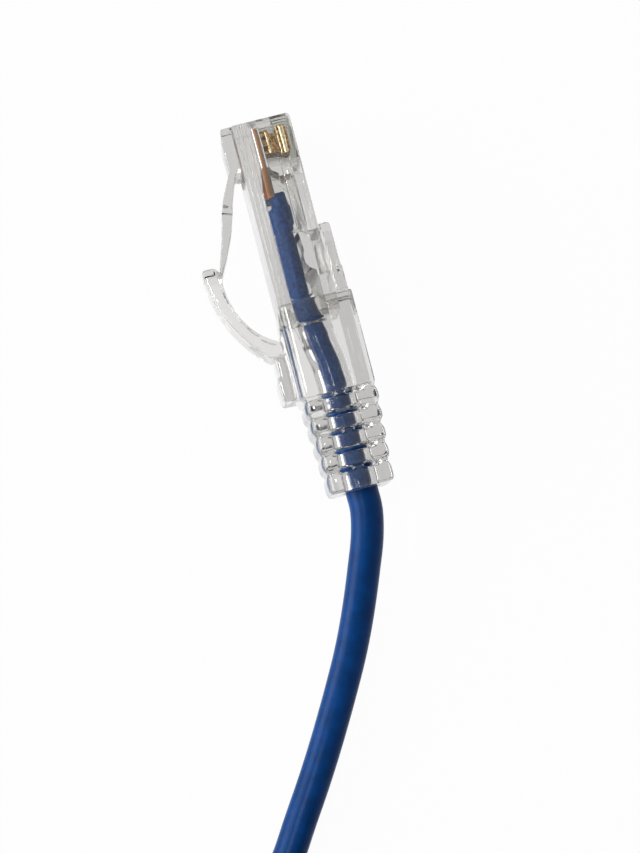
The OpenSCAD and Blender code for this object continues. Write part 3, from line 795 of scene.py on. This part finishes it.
def plating(name, light, dark, roughness):
    """A bright metal between a light and a dark shade, in patches."""
    made, tree = new_material(name)
    where = add(tree, "ShaderNodeTexCoord").outputs["Object"]
    plating_patches = add(tree, "ShaderNodeTexNoise", {
        "Vector": where, "Scale": 1 / (PLATING_SPOT * MM), "Detail": 4,
    })
    spots = add(tree, "ShaderNodeMapRange", {
        "Value": plating_patches.outputs["Fac"], "From Min": 0.42, "From Max": 0.6,
    })
    tint = add(tree, "ShaderNodeMix", {
        "Factor": spots.outputs["Result"], "A": linear(light), "B": linear(dark),
    }, data_type="RGBA")
    skin = add(tree, "ShaderNodeBsdfPrincipled", {
        "Base Color": tint.outputs["Result"], "Metallic": 1.0, "Roughness": roughness,
    })
    add(tree, "ShaderNodeOutputMaterial", {"Surface": skin.outputs["BSDF"]})
    return made


# The beads' gold is near white: a painted highlight along each bead.
gold = plating("gold_painted_highlight", "#FFF4D6", "#F0D698", 0.24)
# The plates are gold with dark brown patches.
bronze = plating("gold_plate_dark_patches", "#CDA468", "#4A3018", 0.3)

# The blade's outline is (behind the nose, deep). A bead is its depth, half its width
# and where it starts and ends.
BLADE_HALF = 0.16
BLADE = [
    (0.85, 1.2), (1, 0.85), (1.35, 0.7), (3.75, 0.7), (4.05, 0.85), (4.15, 1.2), (4.15, 1.9),
    (3.8, 2.2), (3.8, 3.65), (3.65, 3.95), (3.4, 3.95), (3.25, 3.65), (3.25, 3.1), (2.9, 3.1),
    (2.9, 3.65), (2.65, 3.95), (2.45, 3.95), (2.2, 3.65), (2.2, 3.1), (1.8, 3.1), (1.8, 3.65),
    (1.55, 3.95), (1.35, 3.95), (1.1, 3.65), (1.1, 2.85), (1.6, 2.75), (1.7, 2.1), (0.85, 1.95),
]
BEADS = ((1.25, 0.25, 0.95, 4.1), (1.8, 0.1, 0.95, 4.1), (3.05, 0.15, 1.3, 3.75))
BEAD_ROOT, BEAD_HIGH, BEAD_STEPS = BLADE_HALF - 0.005, 0.04, 6


def in_plug(x, y, z):
    """A place in a plug's own frame, in metres."""
    return Vector((x, y, z)) * MM


def blade(name):
    """One blade about its own middle plane, in the plug's frame."""
    maker = bmesh.new()
    prism(maker, in_plug, BLADE, -BLADE_HALF, BLADE_HALF)
    return solid(name, maker)


def blade_beads(name):
    """The raised beads on both sides of one blade."""
    maker = bmesh.new()
    arc = [math.pi * k / BEAD_STEPS for k in range(BEAD_STEPS + 1)]
    for deep, radius, front, back in BEADS:
        for side in (-1, 1):
            rows = [[
                maker.verts.new(in_plug(
                    -deep + radius * math.cos(a), -b, side * (BEAD_ROOT + BEAD_HIGH * math.sin(a)),
                )) for a in arc
            ] for b in (front, back)]
            faces = [maker.faces.new(rows[0]), maker.faces.new(rows[1][::-1])]
            for k in range(len(arc)):
                n = (k + 1) % len(arc)
                faces.append(maker.faces.new((rows[0][k], rows[1][k], rows[1][n], rows[0][n])))
            bmesh.ops.recalc_face_normals(maker, faces=faces)
    return solid(name, maker)


def row_tree(name):
    """Repeats one piece at an even step, from a named start."""
    group = bpy.data.node_groups.new(name, "GeometryNodeTree")
    sockets = {}
    for label, kind in (
        ("Piece", "NodeSocketObject"), ("Count", "NodeSocketInt"), ("Step", "NodeSocketVector"),
        ("Start", "NodeSocketVector"), ("Finish", "NodeSocketMaterial"),
    ):
        made = group.interface.new_socket(label, in_out="INPUT", socket_type=kind)
        sockets[label] = made.identifier
    group.interface.new_socket("Geometry", in_out="OUTPUT", socket_type="NodeSocketGeometry")
    given = group.nodes.new("NodeGroupInput")
    line = add(group, "GeometryNodeMeshLine", {
        "Count": given.outputs["Count"], "Start Location": given.outputs["Start"],
        "Offset": given.outputs["Step"],
    })
    thing = add(group, "GeometryNodeObjectInfo", {"Object": given.outputs["Piece"]})
    rows = add(group, "GeometryNodeInstanceOnPoints", {
        "Points": line.outputs["Mesh"], "Instance": thing.outputs["Geometry"],
    })
    real = add(group, "GeometryNodeRealizeInstances", {"Geometry": rows.outputs["Instances"]})
    coat = add(group, "GeometryNodeSetMaterial", {
        "Geometry": real.outputs["Geometry"], "Material": given.outputs["Finish"],
    })
    last = group.nodes.new("NodeGroupOutput")
    group.links.new(coat.outputs["Geometry"], last.inputs["Geometry"])
    return group, sockets


def repeated(name, group, sockets, values):
    """Runs the tree with these inputs and keeps the result as a plain mesh."""
    holder = bpy.data.objects.new(name, bpy.data.meshes.new(name))
    bpy.context.collection.objects.link(holder)
    step = holder.modifiers.new("rows", "NODES")
    step.node_group = group
    for label, value in values.items():
        step[sockets[label]] = value
    bpy.context.view_layer.update()
    evaluated = holder.evaluated_get(bpy.context.evaluated_depsgraph_get())
    shaped = bpy.data.meshes.new_from_object(evaluated)
    holder.modifiers.clear()
    holder.data = shaped
    return holder


row_group, row_sockets = row_tree("even_row")
one_blade, one_set_of_beads = blade("one_blade"), blade_beads("one_set_of_beads")


def joined_meshes(name, first, second):
    """Two pieces as one: bronze plates and gold beads."""
    maker = bmesh.new()
    maker.from_mesh(first.data)
    for face in maker.faces:
        face.material_index = 0
    count = len(maker.faces)
    maker.from_mesh(second.data)
    maker.faces.ensure_lookup_table()
    for face in maker.faces[count:]:
        face.material_index = 1
    mesh = bpy.data.meshes.new(name)
    maker.to_mesh(mesh)
    maker.free()
    for part, finish in ((first, bronze), (second, gold)):
        mesh.materials.append(finish)
        bpy.data.objects.remove(part)
    made = bpy.data.objects.new(name, mesh)
    bpy.context.collection.objects.link(made)
    return made


PINS = 8
for plug, place in PLUGS.items():
    sizes = {
        "Count": PINS, "Step": (0, 0, -PIN_PITCH * MM),
        "Start": place(0, 0, (PINS - 1) / 2 * PIN_PITCH),
    }
    plates = repeated(
        plug + "_plates", row_group, row_sockets, {"Piece": one_blade, "Finish": bronze, **sizes},
    )
    beads = repeated(
        plug + "_beads", row_group, row_sockets,
        {"Piece": one_set_of_beads, "Finish": gold, **sizes},
    )
    blades = joined_meshes(plug + "_blades", plates, beads)
    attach(blades, "cable")
    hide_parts(*["%s_contact_%d" % (plug, k) for k in range(1, PINS + 1)])
    if plug == "plug_b":
        on_cord.append(blades)
bpy.data.objects.remove(one_blade)
bpy.data.objects.remove(one_set_of_beads)

# ---- Wires and copper ----
# Eight insulated wires leave the jacket in two layers, fan out to the contact pitch
# and run in channels under the blades. The light ones are striped in their pair's colour.

# Bare drawn copper: bright metal, with a grain as wide as one strand.
STRAND = 0.1
copper, tree = new_material("bare_copper")
where = add(tree, "ShaderNodeTexCoord").outputs["Object"]
strands = add(tree, "ShaderNodeTexNoise", {
    "Vector": where, "Scale": 1 / (STRAND * MM), "Detail": 1,
})
tint = add(tree, "ShaderNodeMix", {
    "Factor": strands.outputs["Fac"], "A": linear("#B5633A"), "B": linear("#DD9468"),
}, data_type="RGBA")
skin = add(tree, "ShaderNodeBsdfPrincipled", {
    "Base Color": tint.outputs["Result"], "Metallic": 1.0, "Roughness": 0.3,
})
add(tree, "ShaderNodeOutputMaterial", {"Surface": skin.outputs["BSDF"]})

# Extruded polyethylene: smooth and a little waxy. The stripe is a line of pigment.
STRIPE_SCALE = 2.6


def insulation(name, ground, stripe):
    """Wire insulation: thin lines of the stripe colour run along the wire."""
    made, tree = new_material(name)
    where = add(tree, "ShaderNodeTexCoord").outputs["Object"]
    lines = add(tree, "ShaderNodeTexWave", {
        "Vector": where, "Scale": 1 / (STRIPE_SCALE * MM), "Distortion": 0.6,
        "Detail": 1, "Detail Scale": 300,
    }, wave_type="BANDS", bands_direction="X")
    edge = add(tree, "ShaderNodeMapRange", {
        "Value": lines.outputs["Fac"], "From Min": 0.35, "From Max": 0.6,
    })
    tint = add(tree, "ShaderNodeMix", {
        "Factor": edge.outputs["Result"], "A": linear(ground), "B": linear(stripe),
    }, data_type="RGBA")
    skin = add(tree, "ShaderNodeBsdfPrincipled", {
        "Base Color": tint.outputs["Result"], "Roughness": 0.4, "Specular IOR Level": 0.2,
    })
    add(tree, "ShaderNodeOutputMaterial", {"Surface": skin.outputs["BSDF"]})
    return made


WIRE_DEEP, WIRE_D, WIRE_SIDES = 4.15, 0.78, 20
LAYER_DROP, FAN_START, FAN_RUN, FAN_STEPS = 0.3, 5.4, 2.9, 10
CHANNEL = range(3, 22, 3)
# From pin 1 to pin 8: the colour's name, the ground colour and the stripe.
WIRES = [
    ("white_orange", "#E8A270", "#F6D9BE"), ("orange", "#D06A22", "#D9772E"),
    ("white_green", "#3F9A52", "#E8F0E6"), ("blue", "#2446B4", "#2B50C4"),
    ("white_blue", "#4F78CC", "#E6ECF6"), ("green", "#1A7A32", "#21893B"),
    ("white_brown", "#8C6748", "#EDE4DA"), ("brown", "#5E3820", "#6C4227"),
]


def wire_route(pin, place):
    """Straight in its channel, then in to the jacket, the even pins a layer lower."""
    z = (MIDDLE_PIN - pin) * PIN_PITCH
    low = LAYER_DROP if pin % 2 == 0 else 0
    route = [place(-WIRE_DEEP, -b / 4, z) for b in CHANNEL]
    for k in range(1, FAN_STEPS + 1):
        t = k / FAN_STEPS
        drift = t * t * (3 - 2 * t)
        deep, back = WIRE_DEEP + low * drift, FAN_START + FAN_RUN * t
        route.append(place(-deep, -back, z * (1 - 0.5 * drift)))
    return route


for pin, (colour, ground, stripe) in enumerate(WIRES, 1):
    sleeve = insulation("wire_insulation_%d" % pin, ground, stripe)
    for plug, place in PLUGS.items():
        node = plug + "_wire_%d" % pin
        route = wire_route(pin, place)
        wire = tube(node + "_insulation", route, lambda run, angle: WIRE_D / 2, WIRE_SIDES)
        wire.data.materials.append(sleeve)
        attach(wire, "cable")
        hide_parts(node)
for plug in PLUGS:
    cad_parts[plug + "_conductors"].data.materials.clear()
    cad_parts[plug + "_conductors"].data.materials.append(copper)

# ---- Tie ----
# A flat twist tie of white plastic, closed round the hank. It is matt, and shallow
# crimps show on its upright sides.

CRIMP_SCALE, CRIMP_DEEP, DUST_SIZE = 2.5, 0.1, 1.2
tie_plastic, tree = new_material("twist_tie_plastic")
where = add(tree, "ShaderNodeTexCoord").outputs["Object"]
crimps = add(tree, "ShaderNodeTexWave", {
    "Vector": where, "Scale": 1 / (CRIMP_SCALE * MM),
}, wave_type="BANDS", bands_direction="Z")
bump = add(tree, "ShaderNodeBump", {
    "Height": crimps.outputs["Fac"], "Strength": 0.6, "Distance": CRIMP_DEEP * MM,
})
dust = add(tree, "ShaderNodeTexNoise", {
    "Vector": where, "Scale": 1 / (DUST_SIZE * MM), "Detail": 3,
})
tint = add(tree, "ShaderNodeMix", {
    "Factor": dust.outputs["Fac"], "A": linear("#E9E9E4"), "B": linear("#FAFAF7"),
}, data_type="RGBA")
skin = add(tree, "ShaderNodeBsdfPrincipled", {
    "Base Color": tint.outputs["Result"], "Roughness": 0.4, "Normal": bump.outputs["Normal"],
})
add(tree, "ShaderNodeOutputMaterial", {"Surface": skin.outputs["BSDF"]})
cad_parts["tie"].data.materials.clear()
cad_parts["tie"].data.materials.append(tie_plastic)
